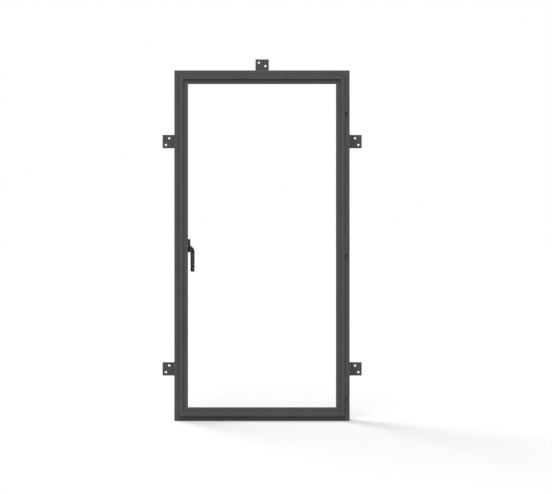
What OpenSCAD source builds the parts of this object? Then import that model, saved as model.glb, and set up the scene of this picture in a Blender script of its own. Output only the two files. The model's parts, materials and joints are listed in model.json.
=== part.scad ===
// Outward-opening steel casement window: a mitred box-section frame with a stop on the room side,
// a side-hung sash whose lip laps the frame outdoors, sealed double glazing held by outside beads,
// three barrel hinges, a cranked handle on the room side that drives a locking rod, and five wall lugs.
// X runs along the width, Y from outdoors (minus) to the room (plus), Z upwards.
// Section points are [u, y]: u is measured inwards from the frame's outer edge.

/* [Frame] */
// Width over the frame
frame_w = 800; // [600:10:1100]
// Height over the frame
frame_h = 1600; // [1200:10:2200]
// Width of the frame's box section
tube_w = 26; // [25:0.5:27]
// Depth of the frame's box section
tube_d = 50; // [48:1:54]
// Sheet thickness of the hollow sections
wall = 2; // [1.8:0.1:2.2]
// Outer bend radius of the frame's box section
bend_r = 2; // [1.2:0.1:2.4]
// Width of the room-side stop bar
stop_w = 41; // [40.5:0.5:42]
// Thickness of the room-side stop bar
stop_t = 5; // [4:0.5:6]

/* [Sash] */
// Frame face left showing around the sash
reveal = 23; // [22:0.5:23.5]
// Width of the lip that laps the frame
lip_w = 19; // [18:0.5:19.5]
// Thickness of the lip
lip_t = 6; // [5:0.5:7]
// Gap between the lip and the frame's face
lip_gap = 4; // [3.5:0.5:5]
// Gap between the frame's box and the sash
sash_gap = 5; // [5:0.25:5.5]
// Width of the sash with its beads
sash_w = 32; // [32:0.5:33]
// Depth of the sash section's nose, behind the glass
nose_d = 18; // [18:0.25:18.5]
// How far the nose stands back from the beads' edge
nose_in = 6.3; // [6:0.1:6.8]
// Inward slope of the nose towards the room
nose_taper = 3.4; // [3:0.1:3.6]
// Width of the sash section's leg, around the glass
leg_w = 13; // [13:0.25:14]

/* [Glazing] */
// Thickness of one pane
pane_t = 4; // [3:0.5:4.5]
// Width of the sealed cavity
cavity_t = 10; // [8:1:11]
// Thickness of the glazing gaskets
gasket_t = 3; // [2.5:0.25:3.25]
// Space around the edge of the glass
edge_gap = 3; // [2.5:0.25:3.5]
// Slope of the beads' inner face
bead_slope = 1.5; // [1:0.1:1.8]
// Sheet thickness of the beads
bead_wall = 1.5; // [1.2:0.1:1.6]

/* [Hinges] */
// Radius of the hinge barrel
hinge_r = 6.5; // [6:0.25:6.75]
// Length of a hinge
hinge_len = 76; // [60:1:100]
// Radius of the hinge pin
pin_r = 3.5; // [3:0.25:3.75]
// Distance of the end hinges from the frame's ends
hinge_end = 154; // [120:1:220]

/* [Wall lugs] */
// Width of a lug
lug_w = 61.5; // [52:0.5:80]
// Reach of a lug past the frame
lug_out = 59.2; // [50:0.2:90]
// Sheet thickness of a lug
lug_t = 3; // [2.5:0.5:4]
// Radius of the fixing holes
lug_hole_r = 5; // [3:0.25:6]
// Distance of the fixing holes from a lug's edges
lug_edge = 15.4; // [12:0.2:18]
// Distance from the frame's top to the upper lugs
lug_upper = 320; // [200:5:400]
// Distance from the frame's bottom to the lower lugs
lug_lower = 232; // [180:1:400]

/* [Handle] */
// Width of the handle's rose
rose_w = 26; // [25:0.5:27]
// Height of the handle's rose
rose_h = 61; // [59:1:66]
// Distance of the spindle below the window's middle
spindle_drop = 1.6; // [0:0.1:40]
// Distance from the spindle down to the end of the grip
grip_len = 120; // [95:1:140]
// Sideways offset of the grip from the spindle
grip_off = 19.3; // [17:0.1:24]
// Width of the grip
grip_w = 19.4; // [16:0.2:20]
// Thickness of the grip
grip_t = 14; // [12:0.5:15]
// Distance from the rose's face to the middle of the grip
neck_len = 34; // [28:1:44]

/* [Lock] */
// Tooth module of the pinion and rack
gear_m = 1; // [0.95:0.01:1]
// Width of the square spindle
square_w = 6; // [5:0.25:6]
// How far the rod runs past its end rollers
rod_over = 40; // [25:1:60]
// Distance of the middle rod guides from the spindle
guide_off = 80; // [60:1:110]
// Distance of the end rollers from the frame's ends
lock_end = 250; // [230:5:320]
// Radius of a lock roller
roller_r = 4.5; // [4:0.25:4.75]

/* [Fits] */
// Radial play of a turning shaft
run_fit = 0.05; // [0.03:0.01:0.08]
// Play between pieces that slide or swing past each other
slide_gap = 0.4; // [0.3:0.05:0.5]
// Radial play of screws in their holes
screw_gap = 0.1; // [0.05:0.05:0.2]

/* [Hidden] */
$fn = 48;
// Planes across the depth
face_y = -(tube_d + stop_t)/2;
stop_y = face_y + tube_d;
sash_y = face_y - lip_gap;
lip_y = sash_y - lip_t;
seal_gap = 4;
back_y = stop_y - seal_gap;
nose_y = back_y - nose_d;
unit_t = 2*pane_t + cavity_t;
glass_y = nose_y - gasket_t - unit_t;
bead_y = glass_y - gasket_t;
bead_d = bead_y - sash_y;
// Lines inwards from the frame's edge
sash_u = tube_w + sash_gap;
leg_u = sash_u + leg_w;
sight = sash_u + sash_w;
lip_u = reveal + lip_w;
glass_u = leg_u + edge_gap;
bead_u = sight - bead_slope;
screw_u = sight - bead_slope/2;
nose_u = sight - nose_in;
// Hinge axis, a hair clear of the lip's edge and of the frame's face
hinge_u = reveal - hinge_r - 0.3;
hinge_x = frame_w/2 - hinge_u;
hinge_y = face_y - hinge_r - 0.3;
knuckle_h = hinge_len/2 - 1;
hinges = [["bottom", hinge_end], ["middle", frame_h/2], ["top", frame_h - hinge_end]];
// Lugs: name, edge it stands on, place along that edge, hand of its holes
lugs = [["top", "head", 0, -1], ["left_upper", "left", frame_h - lug_upper, 1],
    ["left_lower", "left", lug_lower, 1], ["right_upper", "right", frame_h - lug_upper, 1],
    ["right_lower", "right", lug_lower, 1]];
lug_y = face_y + 44;
lug_leg = 25;
// Pinion and rack
teeth = 13;
flank = 25;
pitch_r = gear_m*teeth/2;
pitch = PI*gear_m;
addendum = gear_m;
dedendum = 1.25*gear_m;
backlash = 0.1;
// Rose clear of the stop, and the spindle axis in its middle
rose_u = stop_w + 1.5;
spin_u = rose_u + rose_w/2;
spin_x = -frame_w/2 + spin_u;
spin_z = frame_h/2 - spindle_drop;
rose_rise = 1.7;
base_t = 1.8;
cover_t = 9.7;
cover_wall = 1.5;
plate_t = 2.2;
base_y = back_y + base_t;
rose_y = base_y + cover_t;
post_off = 6 - rose_w/2;
rose_screw = 24.5*rose_h/61;
grip_y = rose_y + neck_len;
spigot_r = 7;
journal_r = 4;
// Depths of the gear, and the locking rod in the stile with its tongue and rack in the rose
gear_y = base_y + 0.6;
gear_t = 6.3;
rack_y = base_y + 0.7;
rod_u = sash_u + wall + 5;
rod_w = 5.25;
rod_t = 5.6;
rod_y = back_y - wall - rod_t - 1.9;
rack_root = spin_u - pitch_r - dedendum;
rack_back = rose_u + cover_wall + slide_gap;
tongue_z = 8;
tongue_h = 12;
roller_y = face_y + 22;
rollers = [for (i = [0:3]) lock_end + i*(frame_h - 2*lock_end)/3];
travel = pitch_r*PI/2;
shank_r = 2.5;
screw_r = 2;

paint = [0.33, 0.33, 0.33];
dark = [0.24, 0.24, 0.24];
zinc = [0.66, 0.67, 0.68];
rubber = [0.08, 0.08, 0.08];
nylon = [0.86, 0.85, 0.8];

// Unit vector along v
function unit(v) = v/norm(v);
// Outline p moved inwards by d
function inset(p, d) = [for (i = [0:len(p) - 1])
    let (a = p[(i + len(p) - 1)%len(p)], b = p[i], c = p[(i + 1)%len(p)],
        e = unit(b - a), f = unit(c - b), n = [-e[1], e[0]], m = [-f[1], f[0]])
    b + d*(n + m)/(1 + n*m)];
// Outline p with each corner i turned to an arc of radius r[i]
function bent(p, r, steps = 4) = [for (i = [0:len(p) - 1])
    let (a = p[(i + len(p) - 1)%len(p)], b = p[i], c = p[(i + 1)%len(p)],
        e = unit(b - a), f = unit(c - b), turn = acos(e*f), way = e[0]*f[1] - e[1]*f[0] > 0 ? 1 : -1,
        s = b - e*r[i]*tan(turn/2), o = s + way*r[i]*[-e[1], e[0]], v = s - o)
    each r[i] == 0 ? [b] : [for (k = [0:steps]) let (t = way*turn*k/steps)
        o + [v[0]*cos(t) - v[1]*sin(t), v[0]*sin(t) + v[1]*cos(t)]]];
function same(p, r) = [for (q = p) r];
// Rectangle from corner a to corner b
function box(a, b) = [a, [b[0], a[1]], b, [a[0], b[1]]];

frame_line = box([0, face_y], [tube_w, stop_y]);
stop_line = box([0, stop_y], [stop_w, stop_y + stop_t]);
lip_line = box([reveal, lip_y], [lip_u, sash_y]);
sash_line = [[sash_u, sash_y], [leg_u, sash_y], [leg_u, nose_y], [nose_u, nose_y], [nose_u - nose_taper, back_y],
    [sash_u, back_y]];
bead_line = [[leg_u, sash_y], [sight, sash_y], [bead_u, bead_y], [leg_u, bead_y]];

module shell(line, hollows) {
    difference() {
        polygon(line);
        for (h = hollows) polygon(h);
    }
}

// Wedge of space that one side keeps between its two mitres
module mitre_space(points) {
    translate([0, 120, 0])
    rotate([90, 0, 0])
    linear_extrude(240)
    polygon(points);
}

// One member of a mitred ring; side is "left", "right", "sill" or "head"
module member(side, line, hollows = []) {
    w = frame_w/2;
    m = sight + 20;
    if (side == "left" || side == "right") {
        mirror([side == "right" ? 1 : 0, 0, 0])
        intersection() {
            translate([-w, 0, -10])
            linear_extrude(frame_h + 20)
            shell(line, hollows);
            mitre_space([[-w - 10, -10], [-w + m, m], [-w + m, frame_h - m], [-w - 10, frame_h + 10]]);
        }
    } else {
        translate([0, 0, side == "head" ? frame_h : 0])
        mirror([0, 0, side == "head" ? 1 : 0])
        intersection() {
            translate([w + 10, 0, 0])
            rotate([0, -90, 0])
            linear_extrude(frame_w + 20)
            shell(line, hollows);
            mitre_space([[-w - 10, -10], [w + 10, -10], [w - m, m], [-w + m, m]]);
        }
    }
}

// Closed ring of one rectangular section, from u0 to u1 and y0 to y1
module ring(u0, u1, y0, y1) {
    translate([0, y1, frame_h/2])
    rotate([90, 0, 0])
    linear_extrude(y1 - y0)
    difference() {
        square([frame_w - 2*u0, frame_h - 2*u0], center = true);
        square([frame_w - 2*u1, frame_h - 2*u1], center = true);
    }
}

// Puts children drawn with +X pointing out of the frame's edge onto that edge
module on_edge(side, at) {
    if (side == "left") translate([-frame_w/2, 0, at]) mirror([1, 0, 0]) children();
    if (side == "right") translate([frame_w/2, 0, at]) children();
    if (side == "head") translate([at, 0, frame_h]) rotate([0, -90, 0]) children();
    if (side == "sill") translate([at, 0, 0]) rotate([0, 90, 0]) children();
}

// Round bar along +X from a to b
module bar_x(r, a, b) {
    translate([a, 0, 0])
    rotate([0, 90, 0])
    cylinder(r = r, h = b - a);
}

// Round bar along +Y from a to b
module bar_y(r, a, b) {
    translate([0, a, 0])
    rotate([-90, 0, 0])
    cylinder(r = r, h = b - a);
}

// The two screw places of a lug, on the frame's outer face
module lug_screw_places() {
    for (z = [-1, 1]) translate([0, lug_y - 11, z*lug_w/4]) children();
}

// Screw places of the keeps, on the jamb's inner face
module keep_screw_places() {
    for (z = rollers, s = [-15, -34]) on_edge("left", z + s) translate([-tube_w, roller_y - 10, 0]) children();
}

module frame_member(side) {
    color(paint)
    difference() {
        member(side, bent(frame_line, same(frame_line, bend_r)), [inset(frame_line, wall)]);
        for (l = lugs) if (l[1] == side)
            on_edge(side, l[2]) lug_screw_places() bar_x(screw_r + screw_gap, -wall - 1, 1);
        if (side == "left") keep_screw_places() bar_x(1.5 + screw_gap, -1, wall + 1);
    }
}

module stop_member(side) {
    color(paint) member(side, bent(stop_line, [0, 0.8, 0.8, 0]));
}

module lug(side, at, hand) {
    line = [[0, lug_t], [0, -lug_leg + lug_t], [lug_t, -lug_leg + lug_t], [lug_t, 0], [lug_out, 0],
        [lug_out, lug_t]];
    color(paint)
    on_edge(side, at)
    difference() {
        translate([0, lug_y, 0])
        linear_extrude(lug_w, center = true)
        polygon(bent(line, [lug_t + 0.5, 0, 0, 0.5, 0, 0]));
        for (h = [[lug_out - lug_edge, -1], [lug_out - 2*lug_edge, 1]])
            translate([h[0], lug_y, hand*h[1]*(lug_w/2 - lug_edge)]) bar_y(lug_hole_r, -1, lug_t + 1);
        lug_screw_places() bar_x(screw_r + screw_gap, -1, lug_t + 1);
    }
}

// Domed screws that hold the lugs to the frame
module lug_screws() {
    color(zinc)
    for (l = lugs) on_edge(l[1], l[2]) lug_screw_places() rotate([0, 90, 0]) rotate_extrude()
        polygon([[0, -8], [screw_r, -6], [screw_r, lug_t], [4, lug_t], [3.7, lug_t + 1],
            [2.4, lug_t + 1.8], [0, lug_t + 2.1]]);
}

// Half of a hinge barrel with its tab, closed at the far end and bored for the pin
module knuckle(bore, tab) {
    difference() {
        union() {
            rotate_extrude()
            polygon([[0, 0], [hinge_r, 0], [hinge_r, knuckle_h - 1], [hinge_r - 1, knuckle_h], [0, knuckle_h]]);
            translate(tab[0]) cube(tab[1] - tab[0]);
        }
        translate([0, 0, -1]) cylinder(r = bore, h = knuckle_h - 3);
    }
}

module hinge_frame(z) {
    color(paint)
    translate([hinge_x, hinge_y, z - 1])
    mirror([0, 0, 1])
    knuckle(pin_r + 0.02, [[-4.5, 0, 1], [4.5, face_y - hinge_y, knuckle_h - 2]]);
}

module hinge_sash(z) {
    color(paint)
    translate([hinge_x, hinge_y, z + 1])
    knuckle(pin_r + run_fit, [[hinge_u - reveal, lip_y + 0.5 - hinge_y, 1],
        [0, sash_y - 0.5 - hinge_y, knuckle_h - 2]]);
}

module hinge_pin(z) {
    low = knuckle_h - 3;
    high = knuckle_h - 5;
    color(zinc)
    translate([hinge_x, hinge_y, z])
    rotate_extrude()
    polygon([[0, -low], [pin_r - 0.5, -low], [pin_r, -low + 0.5], [pin_r, high - 1], [pin_r - 1, high], [0, high]]);
}

// Bearing ring that rests on the frame's half of the hinge
module hinge_washer(z) {
    color([0.72, 0.56, 0.28])
    translate([hinge_x, hinge_y, z - 1])
    difference() {
        cylinder(r = hinge_r - 0.3, h = 1.9);
        translate([0, 0, -1]) cylinder(r = pin_r + 0.2, h = 4);
    }
}

module sash_member(side) {
    color(paint)
    difference() {
        member(side, bent(sash_line, [1.5, 0.8, 0, 1.5, 1.5, 1.5]), [inset(sash_line, wall)]);
        bead_screw_places(side) bar_x(1.75 + screw_gap, -leg_u - 1, -leg_u + wall + 1);
        if (side == "left") {
            rose_screw_places() bar_y(screw_r + 0.02, back_y - wall - 1, back_y + 1);
            tongue_slot(back_y - wall - 1, back_y + 1);
            // Slots that the rollers' shanks run along
            for (z = rollers) on_edge("left", z) translate([-sash_u - wall - 1, roller_y, 0]) {
                translate([0, -shank_r - 0.3, -travel - 1]) cube([wall + 2, 2*shank_r + 0.6, travel + 2]);
                for (s = [-travel - 1, 1]) translate([0, 0, s]) bar_x(shank_r + 0.3, 0, wall + 2);
            }
        }
    }
}

// Places of the rose's two screws
module rose_screw_places() {
    for (s = [-rose_screw, rose_screw]) translate([spin_x + post_off, 0, spin_z + rose_rise + s]) children();
}

// Slot that the rod's tongue runs along, from y0 to y1
module tongue_slot(y0, y1) {
    translate([-frame_w/2 + rack_back - slide_gap, y0, spin_z + tongue_z - tongue_h/2 - travel - 1])
    cube([rack_root - rack_back + 2*slide_gap, y1 - y0, tongue_h + travel + 2]);
}

module lip_member(side) {
    color(paint) member(side, bent(lip_line, [0.8, 0.8, 0, 0.8]));
}

// Places of the bead screws along one side, with +X towards the frame's outer edge
module bead_screw_places(side) {
    upright = side == "left" || side == "right";
    n = upright ? 5 : 3;
    run = (upright ? frame_h : frame_w) - 2*sight - 160;
    for (i = [0:n - 1])
        on_edge(side, (upright ? frame_h/2 : 0) + run*(i/(n - 1) - 0.5))
        translate([0, sash_y + bead_d/2, 0])
        children();
}

bead_head = min(3, bead_d/2 - 0.9);

module bead_member(side) {
    color(paint)
    difference() {
        member(side, bent(bead_line, [0.8, 0.8, 0.8, 0]), [inset(bead_line, bead_wall)]);
        bead_screw_places(side) {
            bar_x(1.75 + screw_gap, -sight - 1, -leg_u + 1);
            bar_x(bead_head + 0.1, -sight - 1, -screw_u);
            translate([-screw_u, 0, 0]) rotate([0, 90, 0])
                cylinder(r1 = bead_head + 0.1, r2 = 1.75 + screw_gap, h = 1.2);
        }
    }
}

module bead_screws() {
    reach = screw_u - leg_u + 4;
    color(zinc)
    for (side = ["left", "right", "sill", "head"]) bead_screw_places(side)
        translate([-screw_u, 0, 0]) rotate([0, 90, 0]) rotate_extrude()
        polygon([[0, 0.1], [bead_head - 0.1, 0.1], [1.75, 1.2], [1.75, reach - 2], [0, reach]]);
}

module pane(y) {
    color([0.75, 0.85, 0.85, 0.3])
    translate([-frame_w/2 + glass_u, y, glass_u])
    cube([frame_w - 2*glass_u, pane_t, frame_h - 2*glass_u]);
}

module setting_blocks() {
    color([0.15, 0.15, 0.16])
    for (p = [["sill", -frame_w/4], ["sill", frame_w/4], ["right", frame_h/6], ["left", frame_h*5/6]])
        on_edge(p[0], p[1]) translate([-glass_u, glass_y, -40]) cube([edge_gap, unit_t, 80]);
}

// Outline of the rose with round corners, drawn in by d
module rose_line(d) {
    a = rose_w/2 - d;
    b = rose_h/2 - d;
    translate([0, rose_rise])
    polygon(bent([[-a, -b], [a, -b], [a, b], [-a, b]], same([1, 2, 3, 4], 4 - d), 5));
}

// Hollow cover of the gear, with a post around each screw
module handle_rose() {
    color(dark)
    difference() {
        translate([spin_x, base_y, spin_z]) rotate([-90, 0, 0]) mirror([0, 1, 0]) hull() {
            linear_extrude(cover_t - 1.2) rose_line(0);
            linear_extrude(cover_t) rose_line(1.2);
        }
        difference() {
            translate([spin_x, rose_y - plate_t, spin_z]) rotate([90, 0, 0]) linear_extrude(cover_t)
                rose_line(cover_wall);
            rose_screw_places() bar_y(3.6, base_y - 1, rose_y);
        }
        translate([spin_x, 0, spin_z]) bar_y(spigot_r + run_fit, base_y - 1, rose_y + 1);
        rose_screw_places() {
            bar_y(screw_r + screw_gap, base_y - 1, rose_y + 1);
            translate([0, rose_y + 0.01, 0]) rotate([90, 0, 0])
                cylinder(r1 = 4.1, r2 = screw_r + screw_gap, h = 2.1);
        }
    }
}

module rose_screws() {
    reach = rose_y - back_y + 8;
    color(zinc)
    rose_screw_places() translate([0, rose_y, 0]) rotate([90, 0, 0]) rotate_extrude()
        polygon([[0, 0.1], [3.9, 0.1], [screw_r, 2], [screw_r, reach - 1.5], [0, reach]]);
}

// Base plate between the rose and the stile, with the pinion's bearing
module case_plate() {
    color(dark)
    difference() {
        translate([spin_x, base_y, spin_z]) rotate([90, 0, 0]) linear_extrude(base_t) rose_line(0.4);
        translate([spin_x, 0, spin_z]) bar_y(journal_r + run_fit, back_y - 1, base_y + 1);
        rose_screw_places() bar_y(screw_r + screw_gap, back_y - 1, base_y + 1);
        tongue_slot(back_y - 1, base_y + 1);
    }
}

// Half the angle a pinion tooth spans at radius r, with involute flanks
function tooth_half(r) = let (rb = pitch_r*cos(flank), a = acos(rb/max(r, rb)),
    inv0 = tan(flank) - flank*PI/180, inv = tan(a) - a*PI/180)
    ((pitch/2 - backlash)/(2*pitch_r) + inv0 - inv)*180/PI;

// Outline of the pinion, one tooth pointing at the rack
function pinion_line() = let (root = pitch_r - dedendum, tip = pitch_r + addendum,
    rs = [root, pitch_r*cos(flank), pitch_r - 0.25*addendum, pitch_r + 0.4*addendum, tip])
    [for (k = [0:teeth - 1]) let (c = 180 + 360*k/teeth) each concat(
        [for (r = rs) let (t = c - tooth_half(r)) r*[cos(t), sin(t)]],
        [for (i = [len(rs) - 1:-1:0]) let (t = c + tooth_half(rs[i])) rs[i]*[cos(t), sin(t)]])];

module drive_pinion() {
    color(zinc)
    translate([spin_x, 0, spin_z])
    difference() {
        union() {
            translate([0, gear_y + gear_t, 0]) rotate([90, 0, 0]) linear_extrude(gear_t) polygon(pinion_line());
            bar_y(journal_r, back_y + 0.3, gear_y + 1);
        }
        translate([0, gear_y + gear_t + 1, 0]) rotate([90, 0, 0]) linear_extrude(gear_t + 1)
            square(square_w + 0.1, center = true);
    }
}

module handle_spindle() {
    color(zinc)
    translate([spin_x, grip_y - 2, spin_z])
    rotate([90, 0, 0])
    linear_extrude(grip_y - 2 - gear_y - 0.1)
    square(square_w, center = true);
}

// Middle line of the lever about the spindle: down at a slant past the rose, then straight down.
// Each entry is [x, z, downward turn, share of the full width]
function lever_path() = let (h = grip_w/2, rc = 10.5, t = rc*tan(22.5), o = [grip_off - rc, -grip_off - t],
    d = [cos(45), -sin(45)])
    concat([for (a = [78, 55, 30, 0]) [-h*sin(a)*d[0], -h*sin(a)*d[1], 45, cos(a)]],
        [for (a = [45:15:90]) [o[0] + rc*sin(a), o[1] + rc*cos(a), a, 1]],
        [[grip_off, -0.65*grip_len, 90, 1]],
        [for (a = [0, 30, 55, 78]) [grip_off, -grip_len + h*0.6*(1 - sin(a)), 90, 0.4 + 0.6*cos(a)]]);

// Ring of the lever's rounded section at one point of its path
function lever_ring(s, n) = [for (i = [0:n - 1]) let (a = 360*(i + 0.5)/n, c = cos(a), e = sin(a),
    p = sign(c)*pow(abs(c), 0.6)*s[3]*grip_w/2, q = sign(e)*pow(abs(e), 0.6)*(0.4 + 0.6*s[3])*grip_t/2)
    [s[0] + p*sin(s[2]), q, s[1] + p*cos(s[2])]];

module handle_lever() {
    n = 24;
    path = lever_path();
    m = len(path);
    points = [for (s = path) each lever_ring(s, n)];
    walls = [for (j = [0:m - 2], i = [0:n - 1]) let (a = j*n + i, b = j*n + (i + 1)%n)
        each [[a, b, b + n], [a, b + n, a + n]]];
    caps = concat([for (i = [1:n - 2]) [0, i + 1, i]],
        [for (i = [1:n - 2]) [(m - 1)*n, (m - 1)*n + i, (m - 1)*n + i + 1]]);
    color(dark)
    translate([spin_x, 0, spin_z])
    difference() {
        union() {
            translate([0, grip_y, 0]) polyhedron(points, concat(walls, caps));
            bar_y(grip_w/2 - 0.6, rose_y + 0.3, grip_y - 0.5);
            bar_y(spigot_r, rose_y - plate_t + 0.2, rose_y + 1);
        }
        translate([0, grip_y - 0.5, 0]) rotate([90, 0, 0]) linear_extrude(neck_len + plate_t + 1)
            square(square_w + 0.1, center = true);
    }
}

// Locking rod inside the handle stile, with a carrier for each roller and, through a slot in the stile,
// a tongue that holds the rack beside the pinion
module drive_rod() {
    half = pitch/4 - backlash/2;
    g0 = half + dedendum*tan(flank);
    g1 = half - addendum*tan(flank);
    root = -pitch_r - dedendum;
    tip = -pitch_r + addendum;
    low = rollers[0] - rod_over;
    high = rollers[3] + rod_over;
    left = -frame_w/2;
    color(zinc)
    difference() {
        union() {
            translate([left + rod_u, rod_y, low]) cube([rod_w, rod_t, high - low]);
            translate([left + rod_u + 1, rod_y, spin_z + tongue_z - tongue_h/2])
                cube([rack_root - rod_u - 1, rod_t, tongue_h]);
            translate([left + rack_back, rod_y + 1, spin_z + tongue_z - tongue_h/2])
                cube([rack_root - rack_back, rack_y - rod_y, tongue_h]);
            translate([spin_x, rack_y + rod_t, spin_z]) rotate([90, 0, 0]) linear_extrude(rod_t)
            polygon(concat([[rack_back - spin_u, 6*pitch], [rack_back - spin_u, -2*pitch], [root, -2*pitch]],
                [for (n = [-2:5]) let (c = (n + 0.5)*pitch)
                    each [[root, c - g0], [tip, c - g1], [tip, c + g1], [root, c + g0]]],
                [[root, 6*pitch]]));
            for (z = rollers) translate([left + sash_u + wall + 1, roller_y - 5, z - 6])
                cube([leg_w - 2*wall - 2, rod_y + rod_t - roller_y + 5, 12]);
        }
        for (z = rollers) on_edge("left", z) translate([0, roller_y, 0])
            bar_x(shank_r + 0.02, -sash_u - wall - 6.5, -sash_u - wall + 1);
    }
}

// Rollers in the gap between sash and frame, each with its shank through the sash wall
module lock_rollers() {
    color(zinc)
    for (z = rollers) on_edge("left", z) translate([0, roller_y, 0]) {
        bar_x(shank_r, -sash_u - wall - 6.5, -tube_w - 1.5);
        bar_x(roller_r, -sash_u + 0.4, -tube_w - 1.2);
    }
}

// Keeps on the jamb that the rollers slide behind, with a lead-in at the top
module keeps() {
    e = -roller_r - 0.5;
    color(zinc)
    difference() {
        for (z = rollers) on_edge("left", z) translate([-tube_w, roller_y, -roller_r - 1]) rotate([0, -90, 0])
            linear_extrude(2.8) polygon([[0, -14.5], [0, e - 2.5], [-5, e], [-36, e], [-36, -14.5]]);
        keep_screw_places() {
            bar_x(1.5 + screw_gap, -4, 1);
            translate([-2.8, 0, 0]) rotate([0, 90, 0]) cylinder(r1 = 3, r2 = 1.5 + screw_gap, h = 1.6);
        }
    }
}

module keep_screws() {
    color(zinc)
    keep_screw_places() translate([-2.8, 0, 0]) rotate([0, 90, 0]) rotate_extrude()
        polygon([[0, 0.1], [2.8, 0.1], [1.5, 1.5], [1.5, 9], [0, 10.5]]);
}

// Sliding guides of the rod inside the stile
module rod_guides() {
    x0 = -frame_w/2 + sash_u + wall;
    front = nose_y + wall;
    mid = (rollers[1] + rollers[0])/2;
    color(nylon)
    for (z = [mid, spin_z - guide_off, spin_z + guide_off, frame_h - mid]) difference() {
        translate([x0, front, z - 12]) cube([5 + rod_w + 3, nose_d - 2*wall, 24]);
        translate([x0 + 5 - slide_gap, rod_y - slide_gap, z - 13])
            cube([rod_w + 2*slide_gap, rod_t + 2*slide_gap, 26]);
    }
}

frame_member("head");  // frame_head
frame_member("sill");  // frame_sill
frame_member("left");  // frame_jamb_left
frame_member("right");  // frame_jamb_right
for (s = ["head", "sill", "left", "right"]) stop_member(s);
color(rubber) ring(sash_u + 1.5, sash_u + 8.5, back_y + 0.3, stop_y);  // weather_seal
for (l = lugs) lug(l[1], l[2], l[3]);
lug_screws();
for (h = hinges) hinge_frame(h[1]);
for (h = hinges) hinge_pin(h[1]);
for (h = hinges) hinge_washer(h[1]);
keeps();
keep_screws();
sash_member("head");  // sash_top
sash_member("sill");  // sash_bottom
sash_member("left");  // sash_stile_left
sash_member("right");  // sash_stile_right
lip_member("head");  // lip_top
lip_member("sill");  // lip_bottom
lip_member("left");  // lip_left
lip_member("right");  // lip_right
color(rubber) ring(reveal + 0.9, reveal + 4.9, sash_y, face_y - 0.3);  // lip_seal
for (h = hinges) hinge_sash(h[1]);
bead_member("head");  // bead_top
bead_member("sill");  // bead_bottom
bead_member("left");  // bead_left
bead_member("right");  // bead_right
bead_screws();
pane(glass_y + pane_t + cavity_t);  // pane_inner
pane(glass_y);  // pane_outer
color([0.5, 0.5, 0.52]) ring(glass_u + 3.5, glass_u + 9, glass_y + pane_t, glass_y + pane_t + cavity_t);  // glass_spacer
color([0.1, 0.1, 0.1]) ring(glass_u, glass_u + 3.5, glass_y + pane_t, glass_y + pane_t + cavity_t);  // edge_sealant
color(rubber) ring(leg_u + 3, nose_u - 0.8, nose_y - gasket_t, nose_y);  // gasket_inner
color(rubber) ring(leg_u + 3, bead_u - 0.9, bead_y, glass_y);  // gasket_outer
setting_blocks();
handle_rose();
rose_screws();
case_plate();
rod_guides();
handle_lever();
handle_spindle();
drive_pinion();
drive_rod();
lock_rollers();
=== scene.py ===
import json
import math
import bmesh
import bpy
import numpy as np
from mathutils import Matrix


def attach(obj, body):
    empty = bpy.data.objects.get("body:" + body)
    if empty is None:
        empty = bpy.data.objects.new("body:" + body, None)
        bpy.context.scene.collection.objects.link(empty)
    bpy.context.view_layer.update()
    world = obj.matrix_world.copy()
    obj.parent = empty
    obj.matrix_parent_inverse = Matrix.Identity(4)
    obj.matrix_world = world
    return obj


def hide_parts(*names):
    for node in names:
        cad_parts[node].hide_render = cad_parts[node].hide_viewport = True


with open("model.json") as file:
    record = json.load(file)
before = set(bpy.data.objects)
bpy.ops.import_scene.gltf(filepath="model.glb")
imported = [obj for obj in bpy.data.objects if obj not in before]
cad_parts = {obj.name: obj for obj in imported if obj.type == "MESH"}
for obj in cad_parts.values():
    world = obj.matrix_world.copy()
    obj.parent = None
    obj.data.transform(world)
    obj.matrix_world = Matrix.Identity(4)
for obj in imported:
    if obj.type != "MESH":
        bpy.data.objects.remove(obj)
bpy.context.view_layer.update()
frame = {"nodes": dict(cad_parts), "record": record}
print("frame loaded:", len(frame["nodes"]), "nodes")

mm = 0.001

# the window's lines in mm: u runs inwards from the frame's outer edge, y is depth and grows into the room
window = dict(width=800.0, height=1600.0,
              faceY=-27.5, stopY=22.5, stopBackY=27.5,  # frame's face, stop's front and back
              sashY=-31.5, lipY=-37.5, backY=18.5, noseY=0.5,  # lip's back and face, sash's room face and nose
              beadY=-23.5, glassY=-20.5, gasketT=3.0, roseY=30.0,
              tubeU=26.0, glassU=47.0, noseU=56.7, beadU=61.5, screwU=62.25, sightU=63.0,
              spindleX=-344.5, spindleZ=798.4)
halfW, fullH = window["width"] / 2, window["height"]


def linearColour(hexText):
    # sRGB hex to linear red, green, blue and alpha
    parts = np.array([int(hexText[i:i + 2], 16) for i in (0, 2, 4)]) / 255
    linear = np.where(parts <= 0.04045, parts / 12.92, ((parts + 0.055) / 1.055) ** 2.4)
    return (*[float(v) for v in linear], 1.0)


def perMetre(sizeMm):
    # texture scale for a pattern whose repeat is sizeMm
    return 1000.0 / sizeMm


def addNode(tree, kind, settings=None, links=None):
    # settings in lower case belong to the node itself, the others to its sockets
    node = tree.nodes.new(kind)
    for key, value in (settings or {}).items():
        if isinstance(key, str) and key.islower():
            setattr(node, key, value)
        else:
            node.inputs[key].default_value = value
    for key, socket in (links or {}).items():
        tree.links.new(socket, node.inputs[key])
    return node


def newMaterial(name):
    material = bpy.data.materials.new(name)
    material.use_nodes = True
    tree = material.node_tree
    tree.nodes.clear()
    return material, tree, addNode(tree, "ShaderNodeOutputMaterial"), addNode(tree, "ShaderNodeTexCoord")


noiseSpan = (0.3, 0.7)  # nearly all of a noise lies between these


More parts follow.
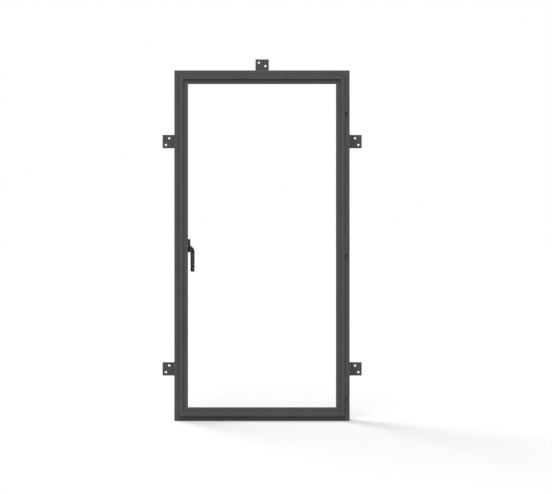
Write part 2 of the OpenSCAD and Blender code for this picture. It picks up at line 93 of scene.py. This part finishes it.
def setRamp(node, tints):
    # tints from dark to light, spread evenly over the noise's span
    ends, places = node.color_ramp.elements, np.linspace(*noiseSpan, len(tints))
    ends[0].position, ends[0].color = places[0], linearColour(tints[0])
    ends[1].position, ends[1].color = places[-1], linearColour(tints[-1])
    for place, tint in zip(places[1:-1], tints[1:-1]):
        ends.new(place).color = linearColour(tint)


def coatedSurface(look):
    # colour from broad mottling with fine specks over it, roughness from the mottling, bump from the grain
    material, tree, out, coord = newMaterial(look["name"])
    where = {"Vector": coord.outputs["Object"]}
    mottle, speck, grain = [
        addNode(tree, "ShaderNodeTexNoise", {"Scale": perMetre(look[size]), "Detail": detail}, where)
        for size, detail in (("mottleMm", 3.0), ("speckMm", 2.0), ("grainMm", 2.0))]
    both = addNode(tree, "ShaderNodeMix", {"data_type": "FLOAT", 0: look["speckShare"]},
                   {2: mottle.outputs["Fac"], 3: speck.outputs["Fac"]})
    tint = addNode(tree, "ShaderNodeValToRGB", None, {"Fac": both.outputs[0]})
    setRamp(tint, look["tints"])
    rough = addNode(tree, "ShaderNodeMapRange",
                    {"From Min": noiseSpan[0], "From Max": noiseSpan[1],
                     "To Min": look["rough"][0], "To Max": look["rough"][1]},
                    {"Value": mottle.outputs["Fac"]})
    bump = addNode(tree, "ShaderNodeBump", {"Strength": look["bump"], "Distance": look["grainDepthMm"] * mm},
                   {"Height": grain.outputs["Fac"]})
    shader = addNode(tree, "ShaderNodeBsdfPrincipled",
                     {"Metallic": look.get("metallic", 0.0), **look.get("sockets", {})},
                     {"Base Color": tint.outputs["Color"], "Roughness": rough.outputs[0],
                      "Normal": bump.outputs["Normal"]})
    tree.links.new(shader.outputs["BSDF"], out.inputs["Surface"])
    return material


# baked powder coat on steel: matt dark grey, orange peel about 2 mm across, a breath of mottling
greyPowderCoat = coatedSurface(dict(
    name="greyPowderCoat", mottleMm=70, speckMm=1.6, speckShare=0.3, grainMm=2.0, grainDepthMm=0.05,
    bump=0.35, rough=(0.5, 0.62), tints=("4d4d4d", "535353", "585858"),
    sockets={"IOR": 1.5, "Specular IOR Level": 0.35}))
# the same coat on the cast handle: a shade darker, polished a little by hands
darkPowderCoat = coatedSurface(dict(
    name="darkPowderCoat", mottleMm=30, speckMm=1.2, speckShare=0.35, grainMm=1.4, grainDepthMm=0.04,
    bump=0.35, rough=(0.4, 0.55), tints=("4a4a4a", "505050", "575757"),
    sockets={"IOR": 1.5, "Specular IOR Level": 0.4}))
# bright zinc plating: cool metal with a cloudy passivated bloom
zincPlate = coatedSurface(dict(
    name="zincPlate", mottleMm=9, speckMm=0.8, speckShare=0.4, grainMm=0.6, grainDepthMm=0.02,
    bump=0.3, rough=(0.28, 0.42), metallic=1.0, tints=("9a9da0", "aeb1b4", "c2c4c6")))
# EPDM seal rubber: extruded, black with a grey bloom, fine matt skin
epdmRubber = coatedSurface(dict(
    name="epdmRubber", mottleMm=25, speckMm=0.7, speckShare=0.4, grainMm=0.5, grainDepthMm=0.04,
    bump=0.5, rough=(0.7, 0.85), tints=("131313", "1a1a1a", "242423"), sockets={"IOR": 1.5}))
# plain brass ring, dark with age and grease
agedBrass = coatedSurface(dict(
    name="agedBrass", mottleMm=4, speckMm=0.6, speckShare=0.4, grainMm=0.5, grainDepthMm=0.02,
    bump=0.3, rough=(0.25, 0.45), metallic=1.0, tints=("4f4a3e", "5b5547", "696252")))
# moulded black polypropylene blocks
blackPolypropylene = coatedSurface(dict(
    name="blackPolypropylene", mottleMm=20, speckMm=0.9, speckShare=0.5, grainMm=0.8, grainDepthMm=0.04,
    bump=0.4, rough=(0.5, 0.65), tints=("1c1c1e", "222224", "2b2b2d"), sockets={"IOR": 1.49}))
# natural nylon guides, milky
naturalNylon = coatedSurface(dict(
    name="naturalNylon", mottleMm=15, speckMm=1.0, speckShare=0.4, grainMm=0.9, grainDepthMm=0.03,
    bump=0.3, rough=(0.42, 0.55), tints=("d2cfc2", "dcd9cd", "e4e2d8"),
    sockets={"IOR": 1.53, "Subsurface Weight": 0.1, "Subsurface Scale": 0.002}))


def perforatedAluminium(look):
    # mill-finish spacer bar: a cloudy metal with small breathing holes in a square grid, drawn as dark dots of
    # painted shade
    material, tree, out, coord = newMaterial(look["name"])
    where = {"Vector": coord.outputs["Object"]}
    cloud = addNode(tree, "ShaderNodeTexNoise",
                    {"Scale": perMetre(look["cloudMm"]), "Detail": look["cloudDetail"]}, where)
    tint = addNode(tree, "ShaderNodeValToRGB", None, {"Fac": cloud.outputs["Fac"]})
    setRamp(tint, look["tints"])
    holes = addNode(tree, "ShaderNodeTexVoronoi",
                    {"Scale": perMetre(look["holeMm"]), "Randomness": 0.0}, where)
    # inside each dot the colour turns dark: painted shade for the hole
    holeShadeMask = addNode(tree, "ShaderNodeMath", {"operation": "LESS_THAN", 1: look["holeRadius"]},
                     {0: holes.outputs["Distance"]})
    colour = addNode(tree, "ShaderNodeMix", {"data_type": "RGBA", 7: linearColour(look["holeShadeTint"])},
                     {0: holeShadeMask.outputs[0], 6: tint.outputs["Color"]})
    rough = addNode(tree, "ShaderNodeMapRange", {"To Min": look["rough"][0], "To Max": look["rough"][1]},
                    {"Value": cloud.outputs["Fac"]})
    shader = addNode(tree, "ShaderNodeBsdfPrincipled", {"Metallic": 1.0},
                     {"Base Color": colour.outputs[2], "Roughness": rough.outputs[0]})
    tree.links.new(shader.outputs["BSDF"], out.inputs["Surface"])
    return material


# a hole every 4 mm, its radius a share of that; the hole's dark tint is painted shade
spacerBar = perforatedAluminium(dict(
    name="perforatedAluminium", cloudMm=3.0, cloudDetail=4.0, tints=("85878a", "a4a6a8"),
    holeMm=4.0, holeRadius=0.16, holeShadeTint="26272a", rough=(0.3, 0.5)))


def floatGlass(look):
    # clear and smooth but for a slight roller wave; lamps and diffuse light go straight through it
    material, tree, out, coord = newMaterial(look["name"])
    wave = addNode(tree, "ShaderNodeTexNoise", {"Scale": perMetre(look["waveMm"]), "Detail": 0.0},
                   {"Vector": coord.outputs["Object"]})
    bump = addNode(tree, "ShaderNodeBump", {"Strength": look["bump"], "Distance": look["waveDepthMm"] * mm},
                   {"Height": wave.outputs["Fac"]})
    shader = addNode(tree, "ShaderNodeBsdfPrincipled",
                     {"Base Color": linearColour(look["tint"]), "Roughness": 0.0, "IOR": 1.5,
                      "Transmission Weight": 1.0, "Specular Tint": linearColour(look["gleam"])},
                     {"Normal": bump.outputs["Normal"]})
    clear = addNode(tree, "ShaderNodeBsdfTransparent", {"Color": linearColour(look["clearTint"])})
    ray = addNode(tree, "ShaderNodeLightPath")
    lit = addNode(tree, "ShaderNodeMath", {"operation": "MAXIMUM"},
                  {0: ray.outputs["Is Shadow Ray"], 1: ray.outputs["Is Diffuse Ray"]})
    mix = addNode(tree, "ShaderNodeMixShader", None,
                  {0: lit.outputs[0], 1: shader.outputs["BSDF"], 2: clear.outputs["BSDF"]})
    tree.links.new(mix.outputs[0], out.inputs["Surface"])
    return material


# float glass with anti-reflection coats, roller wave about 150 mm long
paneGlass = floatGlass(dict(name="coatedFloatGlass", waveMm=150.0, waveDepthMm=0.02, bump=0.04,
                            tint="ffffff", gleam="303030", clearTint="fafafa"))

slotFinish = dict(frame_paint=greyPowderCoat, handle_paint=darkPowderCoat, zinc_steel=zincPlate,
                  seal_rubber=epdmRubber, glass=paneGlass, spacer_aluminium=spacerBar,
                  washer_brass=agedBrass, block_plastic=blackPolypropylene, guide_nylon=naturalNylon)
for part in frame["record"]["subparts"]:
    cadObject = frame["nodes"][part["node"]]
    for cadSlot in cadObject.material_slots:
        cadSlot.link = "OBJECT"
        cadSlot.material = slotFinish[part["material_slot"]]
print("finishes set")


def meshPiece(name, points, faces, body, slotName, smooth=True):
    # points in mm, faces as rows of vertex numbers; the piece is closed and its faces are turned outwards
    mesh = bpy.data.meshes.new(name)
    mesh.from_pydata((np.asarray(points) * mm).tolist(), [], [list(map(int, f)) for f in faces])
    mesh.validate()
    shell = bmesh.new()
    shell.from_mesh(mesh)
    bmesh.ops.recalc_face_normals(shell, faces=shell.faces[:])
    shell.to_mesh(mesh)
    shell.free()
    mesh.polygons.foreach_set("use_smooth", np.full(len(mesh.polygons), smooth))
    piece = bpy.data.objects.new(name, mesh)
    bpy.context.collection.objects.link(piece)
    mesh.materials.append(slotFinish[slotName])
    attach(piece, body)
    return piece


def gridFaces(rows, columns, closeRows=False, start=0):
    # quads of a rows x columns grid, wrapped round its columns and, where asked, its rows
    i, j = np.meshgrid(np.arange(rows if closeRows else rows - 1), np.arange(columns), indexing="ij")
    nextI, nextJ = (i + 1) % rows, (j + 1) % columns
    corners = [i * columns + j, i * columns + nextJ, nextI * columns + nextJ, nextI * columns + j]
    return np.stack([c.ravel() for c in corners], axis=1) + start


def cappedTube(rows, columns):
    # the grid's quads, and a flat face over the first and the last row
    count = rows * columns
    caps = [list(range(columns)), list(range(count - 1, count - columns - 1, -1))]
    return gridFaces(rows, columns)[:, ::-1].tolist() + caps


def mitredRing(profile):
    # P(i, j): section point i = (u, y) set in by u at corner j of the window's outer rectangle
    u, y = profile[:, 0][:, None], profile[:, 1][:, None]
    signX, top = np.array([-1, 1, 1, -1])[None, :], np.array([0, 0, 1, 1])[None, :]
    x = signX * (halfW - u)
    z = np.where(top == 0, u, fullH - u)
    points = np.stack(np.broadcast_arrays(x, y + 0 * x, z), axis=-1).reshape(-1, 3)
    return points, gridFaces(len(profile), 4, closeRows=True)


def bulbProfile(seal):
    # half ellipse standing on a flat foot: u = mid + half cos t, y = foot + rise sin t
    t = np.linspace(0, np.pi, seal["steps"])
    mid, half = (seal["u"][0] + seal["u"][1]) / 2, (seal["u"][1] - seal["u"][0]) / 2
    return np.stack([mid + half * np.cos(t), seal["footY"] + seal["rise"] * np.sin(t)], axis=1)


def ribbedProfile(seal):
    # flat back, and a face whose n ribs follow a cosine: y = crest - depth (1 - cos 2 pi (n s + 1/2)) / 2
    s = np.linspace(0, 1, seal["steps"])
    u = seal["u"][0] + (seal["u"][1] - seal["u"][0]) * s
    wave = np.cos(2 * np.pi * seal["ribs"] * (s + 0.5 / seal["ribs"]))
    y = seal["crestY"] - seal["ribDepth"] * (0.5 - 0.5 * wave)
    back = np.array([[seal["u"][1], seal["backY"]], [seal["u"][0], seal["backY"]]])
    return np.concatenate([np.stack([u, y], axis=1), back])


# the inner gasket stops 0.8 mm short of the nose, the outer one shows 0.5 mm past the bead
weatherBulb = dict(u=(32.6, 39.4), footY=window["stopY"], rise=-3.7, steps=19)
lipBulb = dict(u=(23.9, 27.9), footY=window["sashY"], rise=3.7, steps=19)
innerGasket = dict(u=(window["glassU"], window["noseU"] - 0.8), backY=window["noseY"],
                   crestY=window["noseY"] - window["gasketT"], ribDepth=-0.7, ribs=3, steps=37)
outerGasket = dict(u=(window["glassU"], window["beadU"] + 0.5), backY=window["beadY"],
                   crestY=window["glassY"], ribDepth=0.7, ribs=4, steps=37)
for name, profile, body, node in [
        ("weatherBulbSeal", bulbProfile(weatherBulb), "frame", "weather_seal"),
        ("lipBulbSeal", bulbProfile(lipBulb), "sash", "lip_seal"),
        ("innerRibbedGasket", ribbedProfile(innerGasket), "sash", "gasket_inner"),
        ("outerRibbedGasket", ribbedProfile(outerGasket), "sash", "gasket_outer")]:
    points, faces = mitredRing(profile)
    seal = meshPiece(name, points, faces, body, "seal_rubber", smooth=False)
    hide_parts(node)

# a thin black rubber fin that stands out past the lip all round and is cut away at the hinges: painted shade, a
# dark line put where the gap between the lip and the frame lies in shade
shadeLineFin = dict(u=(21.2, 24.4), thick=0.6, hingeZ=(154.0, 800.0, 1446.0), hingeHalf=40.0)


def shadeLineStrips(fin):
    # rows of x0, x1, z0, z1: left, bottom, top, then the right side between the hinges
    u0, u1 = fin["u"]
    hinge = np.array(fin["hingeZ"])
    starts = np.concatenate([[u1], hinge + fin["hingeHalf"]])
    ends = np.concatenate([hinge - fin["hingeHalf"], [fullH - u1]])
    right = np.stack([0 * starts + halfW - u1, 0 * starts + halfW - u0, starts, ends], axis=1)
    others = [(u0 - halfW, u1 - halfW, u1, fullH - u1),
              (u0 - halfW, halfW - u0, u0, u1),
              (u0 - halfW, halfW - u0, fullH - u1, fullH - u0)]
    return np.concatenate([np.array(others), right])


def stripBoxes(strips, depths):
    # corner k of a box takes x, y and z from the bits of k
    bits = np.arange(8)
    x, z = strips[:, bits & 1], strips[:, 2 + (bits >> 2)]
    y = np.array(depths)[bits >> 1 & 1] + 0 * x
    sides = np.array([(0, 1, 3, 2), (4, 6, 7, 5), (0, 4, 5, 1), (2, 3, 7, 6), (0, 2, 6, 4), (1, 5, 7, 3)])
    faces = (sides[None] + 8 * np.arange(len(strips))[:, None, None]).reshape(-1, 4)
    return np.stack([x, y, z], axis=-1).reshape(-1, 3), faces


# the fin's boxes: a dark strip of painted shade along the lip's edge
points, faces = stripBoxes(shadeLineStrips(shadeLineFin), (window["sashY"], window["sashY"] + shadeLineFin["thick"]))
meshPiece("lipShadeLineFin", points, faces, "sash", "seal_rubber", smooth=False)
print("seals made")

# round is the section's squareness, tip how much the rounded ends lose; the groove's rows are
# how much less than the neck's radius, and how far above the rose
lever = dict(spindle=(window["spindleX"], window["spindleZ"]), gripY=64.0, width=19.4, thick=14.0,
             offset=19.3, length=120.0, bendR=10.5, round=0.6, tip=0.6, tipTurn=86, tipSteps=12,
             bendSteps=9, runSteps=14, columns=48,
             neckR=9.1, neckColumns=64, neckFlare=2.6, flareOut=0.5, flareTurn=80, flareSteps=10, armSink=1.0,
             groove=((0.0, 1.3), (0.3, 0.6), (0.9, 0.3)), roseY=window["roseY"], spigotR=7.0, spigotY=28.0)


def leverPath(arm):
    # middle line: a 45 degree slant from the spindle, a bend whose tangents are reach long, then down;
    # columns are x, z, downward turn, width share
    half, reach, r = arm["width"] / 2, arm["bendR"] * math.tan(math.pi / 8), arm["bendR"]
    slant, tip = math.sqrt(0.5), arm["tip"]
    startTurn = np.radians(np.linspace(arm["tipTurn"], 0, arm["tipSteps"]))
    endTurn = np.radians(np.linspace(0, arm["tipTurn"], arm["tipSteps"]))
    bend = np.radians(np.linspace(45, 90, arm["bendSteps"]))
    run = np.linspace(-arm["offset"] - reach, -arm["length"] + half * tip, arm["runSteps"])[1:-1]
    start = [-half * slant * np.sin(startTurn), half * slant * np.sin(startTurn),
             np.pi / 4 + 0 * startTurn, np.cos(startTurn)]
    turn = [arm["offset"] - r + r * np.sin(bend), -arm["offset"] - reach + r * np.cos(bend), bend, 1 + 0 * bend]
    grip = [arm["offset"] + 0 * run, run, np.pi / 2 + 0 * run, 1 + 0 * run]
    end = [arm["offset"] + 0 * endTurn, -arm["length"] + half * tip * (1 - np.sin(endTurn)),
           np.pi / 2 + 0 * endTurn, 1 - tip + tip * np.cos(endTurn)]
    return np.concatenate([np.stack(stretch, 1) for stretch in (start, turn, grip, end)])


def sweptLever(arm):
    # superellipse section, exponent 2 / round, carried along the path square to its turn
    path, columns = leverPath(arm), arm["columns"]
    a = 2 * np.pi * (np.arange(columns) + 0.5) / columns
    across, deep = [(np.sign(c) * np.abs(c) ** arm["round"])[None, :] for c in (np.cos(a), np.sin(a))]
    p = across * path[:, 3:4] * arm["width"] / 2
    q = deep * (1 - arm["tip"] + arm["tip"] * path[:, 3:4]) * arm["thick"] / 2
    x = arm["spindle"][0] + path[:, 0:1] + p * np.sin(path[:, 2:3])
    z = arm["spindle"][1] + path[:, 1:2] + p * np.cos(path[:, 2:3])
    points = np.stack([x, arm["gripY"] + q, z], axis=-1).reshape(-1, 3)
    return points, cappedTube(len(path), columns)


def turnedShape(profile, columns):
    # revolve (radius, depth) about the y axis: x = r cos a, z = r sin a; end rings are closed by flat caps
    a = 2 * np.pi * np.arange(columns) / columns
    r, depth = profile[:, 0:1], profile[:, 1:2]
    points = np.stack([r * np.cos(a), depth + 0 * a[None, :], r * np.sin(a)], axis=-1).reshape(-1, 3)
    return points, cappedTube(len(profile), columns)


def neckProfile(arm):
    # straight neck with a concave flare where it meets the arm, then a groove above the rose and the spigot
    t = np.radians(np.linspace(0, arm["flareTurn"], arm["flareSteps"]))
    armY = arm["gripY"] - arm["thick"] / 2 + arm["armSink"]
    flare = np.stack([arm["neckR"] + arm["flareOut"] * (1 - np.sin(t)),
                      armY - arm["neckFlare"] * (1 - np.cos(t))], 1)
    groove = [[arm["neckR"] - less, arm["roseY"] + above] for less, above in arm["groove"]]
    spigot = [[arm["spigotR"], groove[-1][1]], [arm["spigotR"], arm["spigotY"]]]
    return np.concatenate([[[arm["neckR"], arm["gripY"]]], flare, groove, spigot])


leverPoints, leverFaces = sweptLever(lever)
neckPoints, neckFaces = turnedShape(neckProfile(lever), lever["neckColumns"])
neckPoints = neckPoints + np.array([lever["spindle"][0], 0, lever["spindle"][1]])
allFaces = leverFaces + [[v + len(leverPoints) for v in f] for f in neckFaces]
crankedLever = meshPiece("crankedLever", np.concatenate([leverPoints, neckPoints]), allFaces,
                         "handle", "handle_paint")
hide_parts("handle_lever")
print("lever made")

# six lobes in every socket; each screw's outline is rows of radius and depth from the head to the tip
lobedSocket = dict(columns=36, lobes=6, lobe=0.14, floorR=0.05)
roseScrew = dict(socketR=1.6, socketDepth=1.4, faceD=0.1,
                 outline=[(3.7, 0.1), (3.9, 0.22), (2.0, 2.0), (2.0, 18.0), (0.3, 19.5)])
beadScrew = dict(socketR=1.25, socketDepth=0.9, faceD=0.12,
                 outline=[(2.75, 0.12), (2.88, 0.22), (1.75, 1.2), (1.75, 20.2), (0.3, 22.2)])
keepScrew = dict(socketR=1.15, socketDepth=0.9, faceD=0.12,
                 outline=[(2.6, 0.12), (2.75, 0.22), (1.5, 1.5), (1.5, 9.0), (0.3, 10.5)])
lugScrew = dict(socketR=1.6, socketDepth=-0.4, faceD=-1.95,
                outline=[(2.3, -1.85), (3.2, -1.45), (3.75, -0.9), (4.0, 0.0), (2.0, 0.0), (2.0, 9.0),
                         (0.3, 11.0)])


def socketScrew(screw):
    # turned screw with a lobed socket: inside the head r = socketR (1 + lobe cos 6a), outside r is round
    columns = lobedSocket["columns"]
    a = 2 * np.pi * np.arange(columns) / columns
    star = 1 + lobedSocket["lobe"] * np.cos(lobedSocket["lobes"] * a)
    wallR, floorD = screw["socketR"], screw["socketDepth"]
    well = [(lobedSocket["floorR"], floorD), (wallR, floorD), (wallR, screw["faceD"])]
    rows = np.array(well + screw["outline"])
    isStar = np.isin(np.arange(len(rows)), (1, 2))[:, None]  # the two rows of the socket's wall
    radius = rows[:, :1] * np.where(isStar, star[None, :], 1.0)
    depth = rows[:, 1:] + 0 * a[None, :]
    points = np.stack([depth, radius * np.cos(a), radius * np.sin(a)], axis=-1).reshape(-1, 3)
    return points, [f[::-1] for f in cappedTube(len(rows), columns)]


def screwGroup(name, screw, places, body, node, finish="zinc_steel"):
    # copies of one screw; a place is (point, direction into the work, sideways)
    points, faces = socketScrew(screw)
    cloud, allRows = [], []
    for k, (origin, into, side) in enumerate(places):
        turn = np.stack([into, side, np.cross(into, side)])
        cloud.append(points @ turn + np.asarray(origin))
        allRows += [[v + k * len(points) for v in f] for f in faces]
    group = meshPiece(name, np.concatenate(cloud), allRows, body, finish, smooth=False)
    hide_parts(node)
    return group


xAxis, yAxis, zAxis = np.eye(3)

# bead screws spread evenly along each bead, starting endGap from the sight line's corners
beadSpots = dict(endGap=80.0, upright=5, level=3, y=(window["sashY"] + window["beadY"]) / 2)


def spread(length, count):
    # places spread evenly about the middle of a bead, step = room / (count - 1)
    room = length - 2 * window["sightU"] - 2 * beadSpots["endGap"]
    return room * (np.arange(count) / (count - 1) - 0.5)


uprights = fullH / 2 + spread(fullH, beadSpots["upright"])
levels = spread(window["width"], beadSpots["level"])
seatX, seatZ = halfW - window["screwU"], fullH - window["screwU"]
beadPlaces = [((-seatX, beadSpots["y"], z), -xAxis, zAxis) for z in uprights]
beadPlaces += [((seatX, beadSpots["y"], z), xAxis, zAxis) for z in uprights]
beadPlaces += [((x, beadSpots["y"], window["screwU"]), -zAxis, xAxis) for x in levels]
beadPlaces += [((x, beadSpots["y"], seatZ), zAxis, xAxis) for x in levels]

# from the spindle: the rose stands a little higher and to the left
roseSpots = dict(x=window["spindleX"] - 7, z=window["spindleZ"] + 1.7, apart=(-24.5, 24.5))
rosePlaces = [((roseSpots["x"], window["roseY"], roseSpots["z"] + s), -yAxis, zAxis)
              for s in roseSpots["apart"]]

# two screws below each roller's keep
keepSpots = dict(count=4, endZ=250.0, below=(-15, -34), proud=2.8, y=-15.5)
keepX = -halfW + window["tubeU"] + keepSpots["proud"]
keepStep = (fullH - 2 * keepSpots["endZ"]) / (keepSpots["count"] - 1)
keepPlaces = [((keepX, keepSpots["y"], keepSpots["endZ"] + k * keepStep + s), -xAxis, zAxis)
              for k in range(keepSpots["count"]) for s in keepSpots["below"]]

# two screws through each lug's foot
lugSpots = dict(heights=(1280.0, 232.0), apart=(-15.375, 15.375), foot=3.0, y=5.5)
lugPlaces = [((side * (halfW + lugSpots["foot"]), lugSpots["y"], z + s), -side * xAxis, zAxis)
             for side in (-1, 1) for z in lugSpots["heights"] for s in lugSpots["apart"]]
lugPlaces += [((s, lugSpots["y"], fullH + lugSpots["foot"]), -zAxis, xAxis) for s in lugSpots["apart"]]

screwGroup("roseSocketScrews", roseScrew, rosePlaces, "sash", "rose_screws", "handle_paint")
screwGroup("beadSocketScrews", beadScrew, beadPlaces, "sash", "bead_screws")
screwGroup("keepSocketScrews", keepScrew, keepPlaces, "frame", "keep_screws")
screwGroup("lugSocketScrews", lugScrew, lugPlaces, "frame", "lug_screws")
print("screws made")

groundWeld = dict(halfWidth=1.6, rise=0.1, ripple=0.25, pitch=2.5, endFade=0.2, sink=0.02, root=0.4,
                  steps=60, crownSteps=9)
# name, body, face, from u, to u, and the way the face looks: -1 outdoors, 1 into the room
weldRuns = [("frameFaceWelds", "frame", window["faceY"], 2.2, 24.0, -1),
            ("lipFaceWelds", "sash", window["lipY"], 24.0, 41.0, -1),
            ("stopRoomWelds", "frame", window["stopBackY"], 1.5, 40.0, 1),
            ("noseRoomWelds", "sash", window["backY"], 42.0, 52.5, 1)]


def mitreWelds(y, u0, u1, way, weld):
    # low dressed bead along each mitre: rise (1 - t^2)(1 + ripple sin(2 pi s / pitch)), t across, s along;
    # two more points a row take its root into the steel and close it
    s, t = np.linspace(0, 1, weld["steps"])[:, None], np.linspace(-1, 1, weld["crownSteps"])[None, :]
    ripple = 1 + weld["ripple"] * np.sin(2 * np.pi * s * (u1 - u0) * math.sqrt(2) / weld["pitch"])
    crown = weld["rise"] * (1 - t ** 2) * ripple * np.sin(np.pi * s) ** weld["endFade"] - weld["sink"]
    height = np.concatenate([crown, np.full((weld["steps"], 2), -weld["root"])], axis=1)
    across = np.concatenate([t, [[1.0, -1.0]]], axis=1) * weld["halfWidth"] / math.sqrt(2) + 0 * s
    along = u0 + (u1 - u0) * s + 0 * across
    columns, points, faces = weld["crownSteps"] + 2, [], []
    for k, (signX, top) in enumerate([(-1, 0), (1, 0), (1, 1), (-1, 1)]):
        x = signX * (halfW - along - across)
        z = along - across if top == 0 else fullH - along + across
        points.append(np.stack([x, y + way * height, z], axis=-1).reshape(-1, 3))
        first = k * weld["steps"] * columns
        last = first + (weld["steps"] - 1) * columns
        faces += gridFaces(weld["steps"], columns, start=first).tolist()
        faces += [list(range(first, first + columns)), list(range(last, last + columns))]
    return np.concatenate(points), faces


for name, body, y, u0, u1, way in weldRuns:
    points, faces = mitreWelds(y, u0, u1, way, groundWeld)
    meshPiece(name, points, faces, body, "frame_paint", smooth=False)
print("welds made")

# soft sun from high in front, and a lower one from behind on the left that lays the shadow to the right
studio = dict(ambient=0.41,
              floor=dict(size=400.0, shown=("9f9f9f", "a1a1a1"), bounce="7f7f7f", glow=0.355, cloudMm=900.0),
              highSun=dict(towards=(0.095, 0.38, -0.92), strength=2.2, angle=30.0),
              backSun=dict(towards=(0.535, -0.4, -0.743), strength=3.6, angle=30.0))


def shownRays(tree):
    # 1 for rays from the camera, in reflections and through glass
    ray = addNode(tree, "ShaderNodeLightPath")
    seen = addNode(tree, "ShaderNodeMath", {"operation": "MAXIMUM"},
                   {0: ray.outputs["Is Camera Ray"], 1: ray.outputs["Is Glossy Ray"]})
    return addNode(tree, "ShaderNodeMath", {"operation": "MAXIMUM"},
                   {0: seen.outputs[0], 1: ray.outputs["Is Transmission Ray"]}).outputs[0]


def setWorld():
    # white where it is seen, and only as bright as ambient where it lights the window
    world = bpy.data.worlds.new("studioWorld")
    bpy.context.scene.world = world
    world.use_nodes = True
    tree = world.node_tree
    tree.nodes.clear()
    level = addNode(tree, "ShaderNodeMapRange", {"To Min": studio["ambient"], "To Max": 1.0},
                    {"Value": shownRays(tree)})
    sky = addNode(tree, "ShaderNodeBackground", {"Color": (1, 1, 1, 1)}, {"Strength": level.outputs[0]})
    addNode(tree, "ShaderNodeOutputWorld", None, {"Surface": sky.outputs[0]})


def softSun(name, sun):
    lamp = bpy.data.lights.new(name, "SUN")
    lamp.energy, lamp.angle = sun["strength"], math.radians(sun["angle"])
    holder = bpy.data.objects.new(name, lamp)
    bpy.context.collection.objects.link(holder)
    x, y, z = np.array(sun["towards"]) / np.linalg.norm(sun["towards"])
    holder.rotation_euler = (math.acos(-z), 0, math.atan2(y, x) - math.pi / 2)


def paleFloor(look):
    # paper that keeps the shadow; what the camera sees of it is lifted to white by its glow
    half = look["size"] / 2
    mesh = bpy.data.meshes.new("paleFloor")
    mesh.from_pydata([(-half, -half, 0), (half, -half, 0), (half, half, 0), (-half, half, 0)], [],
                     [(0, 1, 2, 3)])
    floor = bpy.data.objects.new("paleFloor", mesh)
    bpy.context.collection.objects.link(floor)
    material, tree, out, coord = newMaterial("palePaper")
    cloud = addNode(tree, "ShaderNodeTexNoise", {"Scale": perMetre(look["cloudMm"])},
                    {"Vector": coord.outputs["Object"]})
    tint = addNode(tree, "ShaderNodeValToRGB", None, {"Fac": cloud.outputs["Fac"]})
    setRamp(tint, look["shown"])
    shown = shownRays(tree)
    blend = addNode(tree, "ShaderNodeMix", {"data_type": "RGBA", 6: linearColour(look["bounce"])},
                    {0: shown, 7: tint.outputs["Color"]})
    paper = addNode(tree, "ShaderNodeBsdfDiffuse", None, {"Color": blend.outputs[2]})
    glow = addNode(tree, "ShaderNodeMath", {"operation": "MULTIPLY", 1: look["glow"]}, {0: shown})
    lift = addNode(tree, "ShaderNodeEmission", {"Color": (1, 1, 1, 1)}, {"Strength": glow.outputs[0]})
    both = addNode(tree, "ShaderNodeAddShader", None, {0: paper.outputs[0], 1: lift.outputs[0]})
    tree.links.new(both.outputs[0], out.inputs["Surface"])
    mesh.materials.append(material)


setWorld()
paleFloor(studio["floor"])
softSun("highSun", studio["highSun"])
softSun("backSun", studio["backSun"])

# level camera square to the window, 4 m in front of the frame's outdoor face
viewpoint = dict(place=(0.0639, -4.0275, 0.7939), lens=57.2, sensor=36.0)
camera = bpy.data.cameras.new("photoCamera")
camera.lens, camera.sensor_width = viewpoint["lens"], viewpoint["sensor"]
holder = bpy.data.objects.new("photoCamera", camera)
bpy.context.collection.objects.link(holder)
holder.location, holder.rotation_euler = viewpoint["place"], (math.pi / 2, 0, 0)
bpy.context.scene.camera = holder
bpy.context.scene.view_settings.view_transform = "Standard"
print("studio set")
